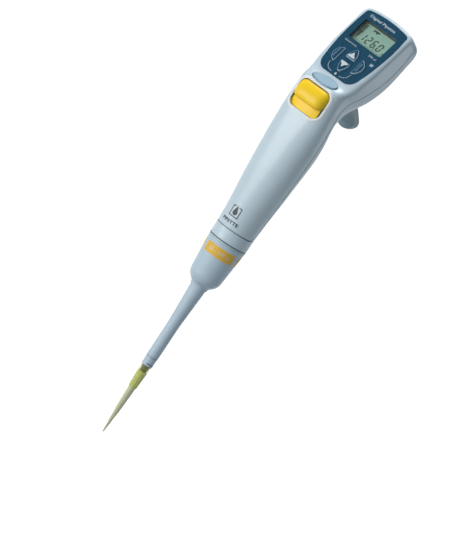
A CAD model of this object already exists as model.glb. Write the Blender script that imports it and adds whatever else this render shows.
import math

import bmesh
import bpy
from mathutils import Matrix, Vector
from mathutils.bvhtree import BVHTree


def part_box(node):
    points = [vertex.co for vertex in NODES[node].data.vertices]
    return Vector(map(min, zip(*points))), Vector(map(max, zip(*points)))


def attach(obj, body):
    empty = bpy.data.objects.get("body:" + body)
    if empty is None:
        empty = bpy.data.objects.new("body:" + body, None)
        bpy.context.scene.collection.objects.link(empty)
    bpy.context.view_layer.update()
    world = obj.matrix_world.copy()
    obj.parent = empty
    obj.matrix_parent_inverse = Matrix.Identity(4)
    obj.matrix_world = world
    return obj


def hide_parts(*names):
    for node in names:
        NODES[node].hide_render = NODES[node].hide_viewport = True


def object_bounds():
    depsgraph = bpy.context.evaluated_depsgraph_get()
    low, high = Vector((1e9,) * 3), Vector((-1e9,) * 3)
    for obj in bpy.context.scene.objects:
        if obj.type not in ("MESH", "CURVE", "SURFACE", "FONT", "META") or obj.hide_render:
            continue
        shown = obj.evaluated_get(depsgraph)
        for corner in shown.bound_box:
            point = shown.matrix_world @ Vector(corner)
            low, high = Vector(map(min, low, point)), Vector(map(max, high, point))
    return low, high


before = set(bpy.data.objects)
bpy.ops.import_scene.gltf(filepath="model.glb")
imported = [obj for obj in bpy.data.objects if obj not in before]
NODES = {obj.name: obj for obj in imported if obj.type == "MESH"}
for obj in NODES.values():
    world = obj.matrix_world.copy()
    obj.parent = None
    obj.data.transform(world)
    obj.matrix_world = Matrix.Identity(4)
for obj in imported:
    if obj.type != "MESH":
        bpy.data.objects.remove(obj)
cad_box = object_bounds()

MM = 0.001

# ---------------------------------------------------------------- colours and materials


def srgb(red, green, blue):
    """A colour given as 0-255 display values, as linear RGBA."""
    channels = [c / 255 for c in (red, green, blue)]
    linear = [c / 12.92 if c <= 0.04045 else ((c + 0.055) / 1.055) ** 2.4 for c in channels]
    return (*linear, 1.0)


class Graph:
    """A material's node tree with short calls to add and link its nodes."""

    def __init__(self, name):
        self.material = bpy.data.materials.new(name)
        self.material.use_nodes = True
        self.tree = self.material.node_tree
        self.shader = self.tree.nodes["Principled BSDF"]
        self.coordinates = self.add("ShaderNodeTexCoord").outputs["Object"]

    def add(self, kind, **settings):
        made = self.tree.nodes.new(kind)
        for name, value in settings.items():
            setattr(made, name, value)
        return made

    def link(self, source, target):
        self.tree.links.new(source, target)
        return source

    def noise(self, size_mm, detail=2.0, roughness=0.5, stretch=None):
        """A noise whose cells are about size_mm across."""
        made = self.add("ShaderNodeTexNoise")
        made.inputs["Scale"].default_value = 1 / (size_mm * MM)
        made.inputs["Detail"].default_value = detail
        made.inputs["Roughness"].default_value = roughness
        source = self.coordinates
        if stretch is not None:
            mapping = self.add("ShaderNodeMapping")
            mapping.inputs["Scale"].default_value = stretch
            self.link(source, mapping.inputs["Vector"])
            source = mapping.outputs["Vector"]
        self.link(source, made.inputs["Vector"])
        return made.outputs["Fac"]

    def spread(self, source, low, high):
        """A value moved from the middle of 0..1 to the range low..high."""
        made = self.add("ShaderNodeMapRange")
        made.inputs["From Min"].default_value = 0.3
        made.inputs["From Max"].default_value = 0.7
        made.inputs["To Min"].default_value = low
        made.inputs["To Max"].default_value = high
        self.link(source, made.inputs["Value"])
        return made.outputs["Result"]

    def mix(self, factor, first, second):
        """A colour between two colours or sockets."""
        made = self.add("ShaderNodeMix", data_type="RGBA")
        sockets = (made.inputs[0], made.inputs[6], made.inputs[7])
        for socket, value in zip(sockets, (factor, first, second)):
            if isinstance(value, bpy.types.NodeSocket):
                self.link(value, socket)
            else:
                socket.default_value = value
        return made.outputs[2]

    def colour(self, source):
        self.link(source, self.shader.inputs["Base Color"])


def shaded(colour, factor):
    """A colour made lighter or darker by a factor."""
    return (*[min(1.0, c * factor) for c in colour[:3]], 1.0)


def plastic(name, colour, rough=0.35, grain=0.25, depth=0.004, vary=0.04, edge=0.0, coat=0.0):
    """Moulded plastic: faint clouds of colour, a fine grain, uneven gloss and softened edges."""
    g = Graph(name)
    clouds = g.noise(9.0, detail=4.0)
    specks = g.noise(grain * 1.6, detail=1.0)
    base = g.mix(g.spread(clouds, 0, 1), shaded(colour, 1 - vary), shaded(colour, 1 + vary))
    g.colour(g.mix(g.spread(specks, 0, 0.35), base, shaded(colour, 1 - 2 * vary)))
    gloss = g.spread(g.noise(1.7, detail=3.0), rough - 0.05, rough + 0.06)
    g.link(gloss, g.shader.inputs["Roughness"])
    bump = g.add("ShaderNodeBump")
    bump.inputs["Strength"].default_value = 0.35
    bump.inputs["Distance"].default_value = depth * MM
    g.link(g.noise(grain, detail=2.0, roughness=0.6), bump.inputs["Height"])
    if edge:
        soft = g.add("ShaderNodeBevel", samples=6)
        soft.inputs["Radius"].default_value = edge * MM
        g.link(soft.outputs["Normal"], bump.inputs["Normal"])
    g.link(bump.outputs["Normal"], g.shader.inputs["Normal"])
    g.shader.inputs["Coat Weight"].default_value = coat
    g.shader.inputs["Coat Roughness"].default_value = 0.15
    return g


def metal(name, colour, rough=0.3, stretch=(1.0, 1.0, 0.04)):
    """Turned or drawn metal: fine streaks in colour, gloss and relief."""
    g = Graph(name)
    streaks = g.noise(0.25, detail=3.0, stretch=stretch)
    g.colour(g.mix(g.spread(streaks, 0, 1), shaded(colour, 0.86), shaded(colour, 1.06)))
    g.link(g.spread(streaks, rough - 0.08, rough + 0.1), g.shader.inputs["Roughness"])
    g.shader.inputs["Metallic"].default_value = 1.0
    bump = g.add("ShaderNodeBump")
    bump.inputs["Strength"].default_value = 0.25
    bump.inputs["Distance"].default_value = 0.003 * MM
    g.link(streaks, bump.inputs["Height"])
    g.link(bump.outputs["Normal"], g.shader.inputs["Normal"])
    return g


def ink(name, colour, rough=0.45):
    """Printed ink: nearly even, with the faint mottle of a screen print."""
    g = Graph(name)
    mottle = g.noise(0.35, detail=2.0)
    g.colour(g.mix(g.spread(mottle, 0, 1), shaded(colour, 0.94), shaded(colour, 1.05)))
    g.link(g.spread(mottle, rough - 0.05, rough + 0.08), g.shader.inputs["Roughness"])
    return g


PANEL_TILT = math.radians(27.0)
PANEL_NORMAL = Vector((0.0, -math.cos(PANEL_TILT), math.sin(PANEL_TILT)))
PANEL_BLUE = srgb(18, 72, 98)
KEY_LIGHT = srgb(178, 208, 232)


def two_tone(name, top, side, normal, rough=0.3):
    """A key whose top is printed in one colour over the moulded colour of its sides."""
    g = plastic(name, side, rough=rough, grain=0.2, depth=0.003)
    facing = g.add("ShaderNodeVectorMath", operation="DOT_PRODUCT")
    source = g.add("ShaderNodeTexCoord").outputs["Normal"]
    g.link(source, facing.inputs[0])
    facing.inputs[1].default_value = normal
    step = g.add("ShaderNodeMapRange")
    step.inputs["From Min"].default_value = 0.955
    step.inputs["From Max"].default_value = 0.985
    g.link(facing.outputs["Value"], step.inputs["Value"])
    under = g.shader.inputs["Base Color"].links[0].from_socket
    cover = g.mix(g.spread(g.noise(3.0, detail=3.0), 0, 1), shaded(top, 0.93), shaded(top, 1.07))
    g.colour(g.mix(step.outputs["Result"], under, cover))
    return g


BODY = srgb(196, 214, 225)
SHELL_LOOK = {"rough": 0.34, "grain": 0.3, "depth": 0.004, "vary": 0.02, "edge": 0.35, "coat": 0.12}
DISPLAY_LOOK = {"rough": 0.5, "grain": 0.5, "depth": 0.001, "vary": 0.03}
SLEEVE = srgb(186, 206, 220)
THUMB = srgb(124, 162, 184)
shell = plastic("shell_plastic", BODY, **SHELL_LOOK)
sleeve = plastic("sleeve_plastic", SLEEVE, rough=0.38, grain=0.25, vary=0.025, edge=0.12)
rest = plastic("rest_plastic", srgb(112, 138, 150), rough=0.38, grain=0.25, vary=0.03, edge=0.3)
lip = plastic("lip_plastic", srgb(232, 237, 240), rough=0.3, grain=0.25, vary=0.01)
panel = plastic("panel_film", PANEL_BLUE, rough=0.3, grain=0.18, depth=0.003, vary=0.05, edge=0.08)
keypad = two_tone("keypad_plastic", PANEL_BLUE, KEY_LIGHT, PANEL_NORMAL)
thumb = plastic("thumb_key_plastic", THUMB, rough=0.4, grain=0.22, vary=0.03, edge=0.3)
yellow = plastic("ejector_plastic", srgb(255, 212, 38), rough=0.32, grain=0.22, vary=0.02)
yellow.shader.inputs["Specular IOR Level"].default_value = 0.3
black = plastic("cone_plastic", srgb(32, 33, 34), rough=0.45, grain=0.2, edge=0.1)
inner = plastic("inner_plastic", srgb(190, 192, 190), rough=0.5, grain=0.35, vary=0.04)
white = plastic("seal_plastic", srgb(232, 232, 226), rough=0.4, grain=0.3)
rubber = plastic("mat_rubber", srgb(92, 98, 102), rough=0.65, grain=0.2, depth=0.01, vary=0.06)
board = plastic("board_laminate", srgb(28, 92, 60), rough=0.35, grain=0.4, vary=0.12)
cell = plastic("cell_wrap", srgb(46, 110, 84), rough=0.28, grain=0.5, vary=0.06, coat=0.3)
copper = metal("coil_copper", srgb(176, 96, 52), rough=0.35, stretch=(1.0, 1.0, 9.0))
steel = metal("turned_steel", srgb(196, 198, 200))
brass = metal("brass_sheet", srgb(206, 170, 92), rough=0.28)
can = metal("motor_can_steel", srgb(168, 170, 174), rough=0.32)


def clear_window():
    """The clear window: almost invisible, with a faint tint and a gloss."""
    g = Graph("window_clear")
    g.colour(g.mix(g.spread(g.noise(6.0), 0, 1), srgb(200, 214, 208), srgb(208, 220, 214)))
    g.shader.inputs["Roughness"].default_value = 0.08
    g.shader.inputs["Alpha"].default_value = 0.05
    return g


COLLAR_FOOT = (32.5, 35.0)
CLEAR_MOUTH = (44.9, 46.3)
TIP_DENSITY, MOUTH_DENSITY, EDGE_DENSITY = 0.72, 0.12, 0.7


def tip_plastic():
    """Translucent polypropylene: clear at the mouth, yellow-green in the collar, paler below."""
    g = Graph("tip_plastic")
    place = g.add("ShaderNodeSeparateXYZ")
    g.link(g.coordinates, place.inputs["Vector"])
    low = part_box("pipette_tip")[0]

    def climb(heights, first, last):
        """A value that changes between two heights above the orifice, in millimetres."""
        start, end = heights
        made = g.add("ShaderNodeMapRange")
        made.inputs["From Min"].default_value = low.z + start * MM
        made.inputs["From Max"].default_value = low.z + end * MM
        made.inputs["To Min"].default_value = first
        made.inputs["To Max"].default_value = last
        g.link(place.outputs["Z"], made.inputs["Value"])
        return made.outputs["Result"]

    cloud = g.spread(g.noise(2.2, detail=3.0, stretch=(1.0, 1.0, 0.25)), 0, 1)
    slim = g.mix(cloud, srgb(222, 222, 182), srgb(230, 230, 194))
    wide = g.mix(cloud, srgb(216, 222, 118), srgb(226, 230, 136))
    g.colour(g.mix(climb(COLLAR_FOOT, 0, 1), slim, wide))
    g.link(g.spread(g.noise(0.8, detail=2.0), 0.2, 0.32), g.shader.inputs["Roughness"])
    rim = g.add("ShaderNodeLayerWeight")
    rim.inputs["Blend"].default_value = 0.2
    edge = g.add("ShaderNodeMath", operation="MULTIPLY")
    edge.inputs[1].default_value = EDGE_DENSITY
    g.link(rim.outputs["Facing"], edge.inputs[0])
    alpha = g.add("ShaderNodeMath", operation="ADD", use_clamp=True)
    g.link(climb(CLEAR_MOUTH, TIP_DENSITY, MOUTH_DENSITY), alpha.inputs[0])
    g.link(edge.outputs["Value"], alpha.inputs[1])
    g.link(alpha.outputs["Value"], g.shader.inputs["Alpha"])
    bump = g.add("ShaderNodeBump")
    bump.inputs["Strength"].default_value = 0.15
    bump.inputs["Distance"].default_value = 0.002 * MM
    g.link(g.noise(0.5, detail=2.0), bump.inputs["Height"])
    g.link(bump.outputs["Normal"], g.shader.inputs["Normal"])
    return g


lcd = plastic("display_plate", srgb(156, 200, 182), **DISPLAY_LOOK)
lcd_shade = plastic("display_shade", srgb(96, 134, 118), **DISPLAY_LOOK)
window = clear_window()
tip = tip_plastic()
print_pale = ink("print_pale", srgb(206, 216, 222))
print_dark = ink("print_dark", srgb(40, 47, 50))
seam_dark = ink("seam_dark", srgb(74, 84, 88), rough=0.6)
seam_faint = ink("seam_faint", srgb(118, 132, 142), rough=0.6)
print_key = ink("print_key", srgb(140, 172, 196))
lcd_ink = ink("lcd_ink", srgb(24, 36, 36), rough=0.55)
label_ink = ink("label_ink", srgb(232, 184, 60))

SURFACES = {
    shell: "front_shell rear_shell battery_cover",
    rest: "finger_rest",
    sleeve: "bell coupling_ring ejector_sleeve ejector_foot ejector_yoke",
    panel: "control_panel",
    keypad: "menu_key enter_key up_key down_key",
    thumb: "pipetting_key",
    yellow: "ejector_key",
    black: "nozzle_cone pipetting_switch charging_socket display_bezel",
    inner: "nozzle_shaft seal_retainer piston_head rotation_stop guide_tube drive_frame",
    white: "piston_seal",
    rubber: "o_ring key_mat",
    board: "main_board",
    cell: "battery_cells",
    copper: "stator_coils",
    steel: "ejector_rod ejector_spring piston piston_spring lead_screw motor_rotor housing_screws "
    "finger_rest_screw",
    brass: "battery_contacts motor_bearings",
    can: "motor_case",
    lcd: "display_module",
    window: "display_window",
    tip: "pipette_tip",
}
for graph, names in SURFACES.items():
    for name in names.split():
        NODES[name].data.materials.clear()
        NODES[name].data.materials.append(graph.material)

# ---------------------------------------------------------------- rounded edges on CAD pieces


def soften(name, width, segments=3, angle=35.0):
    """Round a CAD piece's sharp edges by width millimetres."""
    item = NODES[name]
    weld = item.modifiers.new("weld", "WELD")
    weld.merge_threshold = 1e-6
    bevel = item.modifiers.new("bevel", "BEVEL")
    bevel.width = width * MM
    bevel.segments = segments
    bevel.limit_method = "ANGLE"
    bevel.angle_limit = math.radians(angle)
    bevel.use_clamp_overlap = True
    even = item.modifiers.new("even_normals", "WEIGHTED_NORMAL")
    even.mode = "FACE_AREA"
    even.weight = 50


# ---------------------------------------------------------------- local frames


def local_frame(origin, tilt):
    """A frame whose y climbs a plane that leans back by tilt, and whose z leaves its face."""
    lean, rise = math.sin(tilt), math.cos(tilt)
    rows = [
        (1, 0, 0, origin[0]),
        (0, lean, -rise, origin[1]),
        (0, rise, lean, origin[2]),
        (0, 0, 0, 1),
    ]
    return Matrix(rows)


panel_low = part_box("control_panel")[0]
PANEL_THICK = 1.2 * MM
PANEL_DROP = 1.4 * MM
PANEL_Y = panel_low.y + PANEL_DROP * math.sin(PANEL_TILT)
PANEL_Z = panel_low.z + PANEL_THICK * math.sin(PANEL_TILT) + PANEL_DROP * math.cos(PANEL_TILT)
PANEL = local_frame((0, PANEL_Y, PANEL_Z), PANEL_TILT)


def mesh_object(name, bm):
    mesh = bpy.data.meshes.new(name)
    bm.normal_update()
    bm.to_mesh(mesh)
    bm.free()
    item = bpy.data.objects.new(name, mesh)
    bpy.context.scene.collection.objects.link(item)
    return item


PRINT = 0.02


def flat_print(name, shapes, thickness=PRINT):
    """Closed thin plates over outlines of (x, y) in millimetres, with their undersides at z = 0."""
    bm = bmesh.new()
    for outline in shapes:
        verts = [bm.verts.new((x * MM, y * MM, 0)) for x, y in outline]
        face = bm.faces.new(verts)
        face.normal_update()
        if face.normal.z < 0:
            face.normal_flip()
        top = bmesh.ops.extrude_face_region(bm, geom=[face], use_keep_orig=True)["geom"]
        raised = [v for v in top if isinstance(v, bmesh.types.BMVert)]
        bmesh.ops.translate(bm, verts=raised, vec=(0, 0, thickness * MM))
    bmesh.ops.recalc_face_normals(bm, faces=bm.faces[:])
    return mesh_object(name, bm)


CAPITAL_SHARE = 0.73


def lettering(name, text, height, width=None, spacing=1.0, shear=0.0, bold=0.0):
    """Flat letters as thin closed plates, centred on the origin; height is a capital's height."""
    curve = bpy.data.curves.new(name, "FONT")
    curve.body = text
    curve.size = height * MM / CAPITAL_SHARE
    curve.align_x = "CENTER"
    curve.align_y = "CENTER"
    curve.space_character = spacing
    curve.shear = shear
    curve.offset = bold * MM
    curve.extrude = PRINT * MM / 2
    curve.resolution_u = 3
    source = bpy.data.objects.new(name + "_curve", curve)
    bpy.context.scene.collection.objects.link(source)
    bpy.context.view_layer.update()
    ready = source.evaluated_get(bpy.context.evaluated_depsgraph_get())
    mesh = bpy.data.meshes.new_from_object(ready)
    bpy.data.objects.remove(source)
    low = min(v.co.x for v in mesh.vertices)
    high = max(v.co.x for v in mesh.vertices)
    stretch = width * MM / (high - low) if width else 1.0
    for v in mesh.vertices:
        v.co.x = (v.co.x - (low + high) / 2) * stretch
        v.co.z += PRINT * MM / 2
    mesh.name = name
    item = bpy.data.objects.new(name, mesh)
    bpy.context.scene.collection.objects.link(item)
    return item


def place(item, graph, body, matrix, at=(0.0, 0.0), lift=0.0, turn=0.0):
    """Set a flat print on a local frame, give it its ink and let it ride on a body."""
    spin = Matrix.Rotation(math.radians(turn), 4, "Z")
    shift = Matrix.Translation(Vector((at[0], at[1], lift)) * MM)
    item.data.transform(matrix @ shift @ spin)
    item.data.materials.clear()
    item.data.materials.append(graph.material)
    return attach(item, body)


def arc(cx, cy, radius, start, end, count=16):
    """Points on an arc, angles in degrees."""
    step = (end - start) / (count - 1)
    turns = [math.radians(start + i * step) for i in range(count)]
    return [(cx + radius * math.cos(t), cy + radius * math.sin(t)) for t in turns]


def stroke(points, width):
    """The outline of a line of even width through points."""
    left, right = [], []
    for i, point in enumerate(points):
        before, after = points[max(i - 1, 0)], points[min(i + 1, len(points) - 1)]
        along = Vector((after[0] - before[0], after[1] - before[1])).normalized()
        side = Vector((-along.y, along.x)) * width / 2
        left.append((point[0] + side.x, point[1] + side.y))
        right.append((point[0] - side.x, point[1] - side.y))
    return left + right[::-1]


def rounded(half_x, half_y, radius, cx=0.0, cy=0.0, count=6):
    """A rounded rectangle's outline."""
    points = []
    for sx, sy, start in ((1, -1, -90), (1, 1, 0), (-1, 1, 90), (-1, -1, 180)):
        corner = (cx + sx * (half_x - radius), cy + sy * (half_y - radius))
        points += arc(*corner, radius, start, start + 90, count)
    return points


# ---------------------------------------------------------------- display

SEGMENTS = {"0": "abcdef", "1": "bc", "2": "abged", "6": "acdefg"}
DIGIT_WIDE, DIGIT_HIGH, BAR, SLANT = 3.3, 6.4, 0.95, 0.16


def digit(character, x, y):
    """The lit segments of a slanted seven-segment digit whose lower left corner is at (x, y)."""
    w, h, t, gap = DIGIT_WIDE, DIGIT_HIGH, BAR, 0.05
    half = t / 2

    def bar(ax, ay, bx, by):
        along = Vector((bx - ax, by - ay)).normalized()
        side = Vector((-along.y, along.x)) * half
        a = Vector((ax, ay)) + along * gap
        b = Vector((bx, by)) - along * gap
        corners = [a, a + along * half + side, b - along * half + side, b]
        corners += [b - along * half - side, a + along * half - side]
        return [(x + p.x + SLANT * p.y, y + p.y) for p in corners]

    spots = {
        "a": (half, h - half, w - half, h - half),
        "b": (w - half, h / 2, w - half, h - half),
        "c": (w - half, half, w - half, h / 2),
        "d": (half, half, w - half, half),
        "e": (half, half, half, h / 2),
        "f": (half, h / 2, half, h - half),
        "g": (half, h / 2, w - half, h / 2),
    }
    return [bar(*spots[s]) for s in SEGMENTS[character]]


DIGITS_LEFT, DIGITS_FOOT, DIGIT_PITCH = -10.3, 29.7, 4.7
LCD_LIFT = -4.78
shapes = []
for i, character in enumerate("1260"):
    shapes += digit(character, DIGITS_LEFT + i * DIGIT_PITCH, DIGITS_FOOT)
shapes.append(rounded(0.45, 0.45, 0.12, 3.0, DIGITS_FOOT + 0.42))
place(flat_print("lcd_digits", shapes), lcd_ink, "housing", PANEL, lift=LCD_LIFT)
LCD_WORDS = (
    ("lcd_mode", "PIP", 1.7, 4.9, 0.0, 0.16, (-3.4, 40.3)),
    ("lcd_unit", "µl", 1.7, 2.3, 0.15, 0.05, (10.6, 31.0)),
)
for name, text, height, width, shear, bold, at in LCD_WORDS:
    word = lettering(name, text, height, width, shear=shear, bold=bold)
    place(word, lcd_ink, "housing", PANEL, at, LCD_LIFT)
tip_mark = [(-13.6, 35.9), (-10.5, 35.9), (-10.9, 34.6)]
tip_mark += [(-11.8, 30.0), (-12.4, 30.0), (-13.2, 34.6)]
ticks = [rounded(0.8, 0.22, 0.1, -12.1, 37.0 + 0.95 * i) for i in range(4)]
place(flat_print("lcd_icons", [tip_mark] + ticks), lcd_ink, "housing", PANEL, lift=LCD_LIFT)
shade_patch = rounded(1.3, 2.9, 0.3, -12.0, 38.6)
place(flat_print("lcd_band", [shade_patch], 0.01), lcd_shade, "housing", PANEL, lift=LCD_LIFT)

# ---------------------------------------------------------------- print on the panel and keys

INK_LIFT = 0.012
PANEL_WORDS = (
    ("panel_title", "Digital Pipette", 2.0, 20.8, 0.02, (-2.2, 45.5)),
    ("panel_caption", "electronic", 1.25, 10.0, 0.0, (-8.4, 23.1)),
    ("panel_range", "200 µl", 1.35, 6.0, 0.0, (9.9, 23.0)),
)
for name, text, height, width, bold, at in PANEL_WORDS:
    word = lettering(name, text, height, width, bold=bold)
    place(word, print_pale, "housing", PANEL, at, INK_LIFT)
small_mark = [rounded(0.24, 0.9, 0.1, 13.5 + 0.8 * i, 18.6) for i in (-1, 0, 1)]
LINK_WIDE = 0.24
left_turn = [(-9.2, 5.6), (-9.0, 4.1), (-8.4, 2.6), (-7.4, 1.4), (-5.9, 0.6), (-3.5, 0.2)]
right_turn = [(8.3, 5.6), (8.0, 3.9), (7.4, 2.4), (6.3, 1.2), (4.9, 0.5), (2.9, 0.2)]
link_left = stroke(left_turn, LINK_WIDE)
link_right = stroke(right_turn, LINK_WIDE)
drop = [(0.0, 1.7)] + arc(0.0, 0.3, 0.72, 25, -205, 18)
marks = small_mark + [link_left, link_right, drop]
place(flat_print("panel_marks", marks), print_pale, "housing", PANEL, lift=INK_LIFT)

KEY_ROW, KEY_COLUMN, KEY_TOP, ARROW_FOOT = 11.95, 9.6, 1.9, 2.35
for name, caption, side in (("menu", "MENU", -1), ("enter", "ENTER", 1)):
    word = lettering(f"{name}_caption", caption, 1.15, 6.4, spacing=1.05)
    at = (side * KEY_COLUMN, KEY_ROW)
    place(word, print_key, f"{name}_button", PANEL, at, KEY_TOP + INK_LIFT, turn=90)
for name, side in (("up", 1), ("down", -1)):
    foot = KEY_ROW + side * ARROW_FOOT
    chevron = [(-2.7, 0.0), (2.7, 0.0), (2.6, 1.0), (1.3, 1.9), (0, 4.1), (-1.3, 1.9), (-2.6, 1.0)]
    chevron = [(x, foot + side * y) for x, y in chevron]
    arrow = flat_print(f"{name}_arrow", [chevron])
    place(arrow, print_pale, f"{name}_button", PANEL, lift=KEY_TOP + INK_LIFT)

# ---------------------------------------------------------------- labels on the bell and handle


def subdivide(item, longest):
    """Split long edges so that a flat print can follow a curved surface."""
    bm = bmesh.new()
    bm.from_mesh(item.data)
    bmesh.ops.triangulate(bm, faces=bm.faces[:])
    for _ in range(6):
        long_edges = [e for e in bm.edges if e.calc_length() > longest * MM]
        if not long_edges:
            break
        bmesh.ops.subdivide_edges(bm, edges=long_edges, cuts=1)
        bmesh.ops.triangulate(bm, faces=bm.faces[:])
    bm.to_mesh(item.data)
    bm.free()


bell_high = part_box("bell")[1]
SHOULDER_RADIUS, SHOULDER_DROP = 0.0110, 0.0228


def bell_radius(z):
    """The bell's outer radius at a height, from its upper rim and the start of its shoulder."""
    rim = bell_high.x
    return rim - (rim - SHOULDER_RADIUS) * (bell_high.z - z) / SHOULDER_DROP


def wrap_on_bell(item, graph, centre_turn, height, lift):
    """Wrap a flat print round the bell, its origin at an angle from the front and a height."""
    subdivide(item, 0.9)
    for v in item.data.vertices:
        z = height * MM + v.co.y
        reach = bell_radius(z)
        turn = math.radians(centre_turn) + v.co.x / reach
        reach += lift * MM + v.co.z
        v.co = (reach * math.sin(turn), -reach * math.cos(turn), z)
    item.data.materials.clear()
    item.data.materials.append(graph.material)
    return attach(item, "housing")


LABEL_HALF, LABEL_HIGH, LABEL_AT = 11.3, 3.4, -8.0
for i, turn in enumerate((24.0, 144.0, 264.0), start=1):
    patch = flat_print(f"range_label_{i}", [rounded(LABEL_HALF, LABEL_HIGH, 1.3)])
    wrap_on_bell(patch, label_ink, turn, LABEL_AT, 0.012)
    words = lettering(f"range_text_{i}", "20 - 200 µl", 2.3, 15.5, spacing=1.1)
    wrap_on_bell(words, print_pale, turn, LABEL_AT, 0.03)

handle_tree = BVHTree.FromObject(NODES["front_shell"], bpy.context.evaluated_depsgraph_get())
AHEAD_OF_HANDLE, BACKWARD = -0.05, Vector((0, 1, 0))


def press_on_handle(item, graph, x, z, lift=0.012):
    """Lay a flat print on the front of the handle."""
    subdivide(item, 0.8)
    for v in item.data.vertices:
        start = Vector((x * MM + v.co.x, AHEAD_OF_HANDLE, z * MM + v.co.y))
        hit = handle_tree.ray_cast(start, BACKWARD)[0]
        v.co = hit - BACKWARD * (v.co.z + lift * MM)
    item.data.materials.clear()
    item.data.materials.append(graph.material)
    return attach(item, "housing")


BAND_STEPS, BAND_DEEP = 48, 0.2


def band(name, graph, radius, low, high, body):
    """A thin dark ring round the shaft: the shadow line of a joint between two pieces."""
    bm = bmesh.new()
    loops = []
    for i in range(BAND_STEPS):
        turn = math.tau * i / BAND_STEPS
        inside = radius - BAND_DEEP
        spots = ((radius, low), (radius, high), (inside, high), (inside, low))
        points = [(r * math.sin(turn) * MM, -r * math.cos(turn) * MM, z * MM) for r, z in spots]
        loops.append([bm.verts.new(p) for p in points])
    for a, b in zip(loops, loops[1:] + loops[:1]):
        for k in range(4):
            bm.faces.new((a[k], b[k], b[(k + 1) % 4], a[(k + 1) % 4]))
    bmesh.ops.recalc_face_normals(bm, faces=bm.faces[:])
    item = mesh_object(name, bm)
    item.data.materials.append(graph.material)
    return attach(item, body)


JOINT_LINES = (
    ("collar_line", seam_dark, 13.13, 7.92, 8.2, "housing"),
    ("coupling_line", seam_dark, 13.04, -0.7, 0.04, "housing"),
    ("bell_line", seam_faint, 12.98, -1.75, -1.58, "housing"),
    ("sleeve_line", seam_faint, 4.03, -87.2, -87.0, "ejector"),
)
for line in JOINT_LINES:
    band(*line)

mark_frame = [
    [(-3.6, -3.6), (3.6, -3.6), (3.6, -2.95), (-3.6, -2.95)],
    [(-3.6, -2.95), (-2.95, -2.95), (-2.95, 3.6), (-3.6, 3.6)],
    [(2.95, -2.95), (3.6, -2.95), (3.6, 3.6), (2.95, 3.6)],
    [(-2.95, 2.95), (-1.2, 2.95), (-1.2, 3.6), (-2.95, 3.6)],
    [(1.2, 2.95), (2.95, 2.95), (2.95, 3.6), (1.2, 3.6)],
]
mark_drop = [(0.0, 4.1)] + arc(0.0, -0.6, 1.8, 22, -202, 28)
MARK_AT, WORD_AT = 19.3, 12.3
press_on_handle(flat_print("handle_mark", mark_frame + [mark_drop]), print_dark, 0.0, MARK_AT)
word = lettering("handle_word", "PIPETTE", 2.1, 12.5, spacing=1.05, bold=0.12)
press_on_handle(word, print_dark, 0.0, WORD_AT)

# ---------------------------------------------------------------- ejector key and its well


def rounded_solid(bm, rings):
    """A closed skin over rings of points, each ring in the same order; its ends are capped."""
    loops = [[bm.verts.new(Vector(p) * MM) for p in points] for points in rings]
    count = len(loops[0])
    for low, high in zip(loops, loops[1:]):
        for i in range(count):
            bm.faces.new((low[i], low[(i + 1) % count], high[(i + 1) % count], high[i]))
    bm.faces.new(loops[0][::-1])
    bm.faces.new(loops[-1])


CAP_HALF, CAP_END, CAP_CROWN, CAP_DEEP = 11.9, 5.2, 0.6, 7.6
CAP_SIDE = (
    (-11.4, 101.6), (-14.0, 100.9), (-15.6, 100.3), (-17.2, 99.8), (-18.4, 100.2), (-18.95, 101.4),
    (-19.0, 103.2), (-18.8, 105.0), (-18.3, 106.9), (-17.6, 108.6), (-16.7, 110.2), (-15.5, 111.5),
    (-13.9, 112.3), (-11.4, 112.4),
)
CAP_BACK, CAP_MIDDLE = -11.4, 106.4
STEM_LEFT, STEM_RIGHT, STEM_LOW, STEM_HIGH = -11.5, 10.3, 89.4, 103.0
STEM_FRONT, STEM_BACK, STEM_BOW = -14.0, -11.9, 0.0132
SHANK = (4.0, -13.4, STEM_BACK, 80.0, 90.0)
BOSS = (3.0, -13.0, -8.2, 80.0, 84.0)


def cap_ring(x):
    """The cap's outline at x: full in the middle, drawn in toward its rounded ends."""
    past = max(0.0, abs(x) - (CAP_HALF - CAP_END)) / CAP_END
    keep = math.sqrt(max(0.0, 1 - past * past))
    depth = (0.3 + 0.7 * keep) * (1 - CAP_CROWN / CAP_DEEP * (x / CAP_HALF) ** 2)
    height = 0.5 + 0.5 * keep
    ring = []
    for y, z in CAP_SIDE:
        ring.append((x, CAP_BACK + (y - CAP_BACK) * depth, CAP_MIDDLE + (z - CAP_MIDDLE) * height))
    return ring


def sampled_ends(half, end, count=9):
    """Stations across a part, crowded toward its rounded ends."""
    turns = [math.radians(90 * i / (count - 1)) for i in range(count)]
    right = [half - end + end * math.sin(t) for t in turns]
    return [-x for x in reversed(right)] + [-4.0, 0.0, 4.0] + right


def side_face(x, front, rear, low, high):
    """The corners of a rectangle across x."""
    return [(x, front, low), (x, front, high), (x, rear, high), (x, rear, low)]


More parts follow.
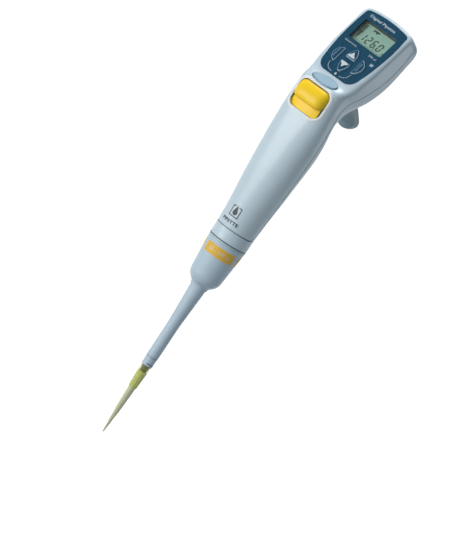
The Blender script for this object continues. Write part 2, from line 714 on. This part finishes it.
def ejector_key():
    """The yellow key: a pillow-shaped cap on a bowed stem with a shank and a boss."""
    bm = bmesh.new()
    rounded_solid(bm, [cap_ring(x) for x in sampled_ends(CAP_HALF, CAP_END)])
    stations = [STEM_LEFT + (STEM_RIGHT - STEM_LEFT) * i / 12 for i in range(13)]
    stem = []
    for x in stations:
        stem.append(side_face(x, STEM_FRONT + STEM_BOW * x * x, STEM_BACK, STEM_LOW, STEM_HIGH))
    rounded_solid(bm, stem)
    for half, front, rear, low, high in (SHANK, BOSS):
        rounded_solid(bm, [side_face(x, front, rear, low, high) for x in (-half, half)])
    bmesh.ops.recalc_face_normals(bm, faces=bm.faces[:])
    for face in bm.faces:
        face.smooth = True
    item = mesh_object("ejector_key_skin", bm)
    bevel = item.modifiers.new("bevel", "BEVEL")
    bevel.width = 0.35 * MM
    bevel.segments = 3
    bevel.limit_method = "ANGLE"
    bevel.angle_limit = math.radians(62)
    item.data.materials.append(yellow.material)
    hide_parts("ejector_key")
    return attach(item, "ejector")


ejector_key()


WELL_MIDDLE, WELL_HALF, WELL_TALL, WELL_CORNER = 103.2, 12.33, 9.63, 5.0
RIM_WIDE, RIM_PROUD, RIM_SUNK, RIM_STEPS = 1.9, 0.25, 0.3, 6


def well_rim():
    """The bright raised lip round the opening of the ejector key's well."""
    sizes = (WELL_HALF, WELL_TALL, WELL_CORNER)
    inner = rounded(*sizes, 0.0, WELL_MIDDLE, count=14)
    outer = rounded(*[size + RIM_WIDE for size in sizes], 0.0, WELL_MIDDLE, count=14)
    bm = bmesh.new()
    profiles = []
    for near, far in zip(inner, outer):
        profile = []
        for step in range(RIM_STEPS + 1):
            share = step / RIM_STEPS
            x = near[0] + (far[0] - near[0]) * share
            z = near[1] + (far[1] - near[1]) * share
            start = Vector((x * MM, AHEAD_OF_HANDLE, z * MM))
            hit, normal = handle_tree.ray_cast(start, BACKWARD)[:2]
            swell = RIM_PROUD * math.sin(math.pi * share) ** 0.5 if 0 < share < 1 else 0.0
            profile.append(hit + normal * swell * MM)
        buried = BACKWARD * RIM_SUNK * MM
        profile += [profile[-1] + buried, profile[0] + buried]
        profiles.append([bm.verts.new(p) for p in profile])
    for a, b in zip(profiles, profiles[1:] + profiles[:1]):
        for k in range(len(a)):
            follow = (k + 1) % len(a)
            bm.faces.new((a[k], a[follow], b[follow], b[k]))
    bmesh.ops.recalc_face_normals(bm, faces=bm.faces[:])
    for face in bm.faces:
        face.smooth = True
    item = mesh_object("well_rim", bm)
    item.data.materials.append(lip.material)
    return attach(item, "housing")


well_rim()

# ---------------------------------------------------------------- floor, light and camera

AZIMUTH, ELEVATION, ROLL = math.radians(28.0), math.radians(8.0), math.radians(33.5)
DISTANCE, PICTURE_HIGH = 2.6, 0.3412
AIM_RIGHT, AIM_UP = 0.0015, -0.0210


def camera():
    """The camera, rolled so that the shaft leans to the right; returns its right, up and back."""
    back = Vector(
        (
            math.sin(AZIMUTH) * math.cos(ELEVATION),
            -math.cos(AZIMUTH) * math.cos(ELEVATION),
            math.sin(ELEVATION),
        )
    )
    level = Vector((math.cos(AZIMUTH), math.sin(AZIMUTH), 0.0))
    upward = back.cross(level)
    right = level * math.cos(ROLL) + upward * math.sin(ROLL)
    up = upward * math.cos(ROLL) - level * math.sin(ROLL)
    centre = right * AIM_RIGHT + up * AIM_UP
    data = bpy.data.cameras.new("camera")
    data.sensor_width = 36.0
    data.lens = data.sensor_width * DISTANCE / PICTURE_HIGH
    data.clip_end = 200.0
    item = bpy.data.objects.new("camera", data)
    facing = Matrix((right, up, back)).transposed().to_4x4()
    item.matrix_world = Matrix.Translation(centre + back * DISTANCE) @ facing
    bpy.context.scene.collection.objects.link(item)
    bpy.context.scene.camera = item
    return right, up, back


RIGHT, UP, BACK = camera()


def area_light(name, direction, distance, size, power, colour=(1.0, 1.0, 1.0)):
    """A soft square light that faces the middle of the object."""
    middle = (cad_box[0] + cad_box[1]) / 2
    data = bpy.data.lights.new(name, "AREA")
    data.shape = "DISK"
    data.size = size
    data.energy = power
    data.color = colour
    item = bpy.data.objects.new(name, data)
    way = Vector(direction).normalized()
    item.location = middle + way * distance
    item.rotation_mode = "QUATERNION"
    item.rotation_quaternion = way.to_track_quat("Z", "Y")
    bpy.context.scene.collection.objects.link(item)


WARM, COOL = (1.0, 0.985, 0.955), (0.85, 0.94, 1.0)
area_light("key_light", -RIGHT * 0.95 + UP * 0.5 + BACK * 0.75, 1.2, 0.9, 12.5, WARM)
area_light("front_light", -RIGHT * 0.25 + UP * 0.3 + BACK, 1.6, 1.0, 2.6)
area_light("rim_light", RIGHT * 1.0 - UP * 0.45 - BACK * 0.5, 1.3, 0.5, 1.0, COOL)
sun = bpy.data.lights.new("top_light", "SUN")
sun.energy = 2.0
sun.angle = math.radians(30)
sun_item = bpy.data.objects.new("top_light", sun)
sun_item.rotation_euler = (math.radians(-12), math.radians(-14), 0)
bpy.context.scene.collection.objects.link(sun_item)


FLOOR_REACH, FLOOR_GAP = 30.0, 0.002


def floor():
    """A wide plain floor under the object."""
    bm = bmesh.new()
    level = cad_box[0].z - FLOOR_GAP
    signs = ((-1, -1), (1, -1), (1, 1), (-1, 1))
    corners = [(sx * FLOOR_REACH, sy * FLOOR_REACH) for sx, sy in signs]
    bm.faces.new([bm.verts.new((x, y, level)) for x, y in corners])
    item = mesh_object("floor", bm)
    g = Graph("floor_paper")
    g.colour(g.mix(g.spread(g.noise(900.0), 0, 1), (0.94, 0.94, 0.94, 1), (0.96, 0.96, 0.96, 1)))
    g.shader.inputs["Roughness"].default_value = 0.9
    g.shader.inputs["Emission Color"].default_value = (1, 1, 1, 1)
    g.shader.inputs["Emission Strength"].default_value = 0.3
    item.data.materials.append(g.material)
    item.visible_diffuse = False


floor()
world = bpy.data.worlds.new("studio")
world.use_nodes = True
world.node_tree.nodes["Background"].inputs["Color"].default_value = (0.82, 0.93, 1.0, 1)
world.node_tree.nodes["Background"].inputs["Strength"].default_value = 0.24
bpy.context.scene.world = world
bpy.context.scene.view_settings.view_transform = "Standard"

# ---------------------------------------------------------------- rounded edges

SOFT_EDGES = (
    ("menu_key", 0.3, 3),
    ("enter_key", 0.3, 3),
    ("up_key", 0.3, 3),
    ("down_key", 0.3, 3),
    ("finger_rest", 1.1, 5),
    ("battery_cover", 0.15, 2),
)
for name, width, segments in SOFT_EDGES:
    soften(name, width, segments)
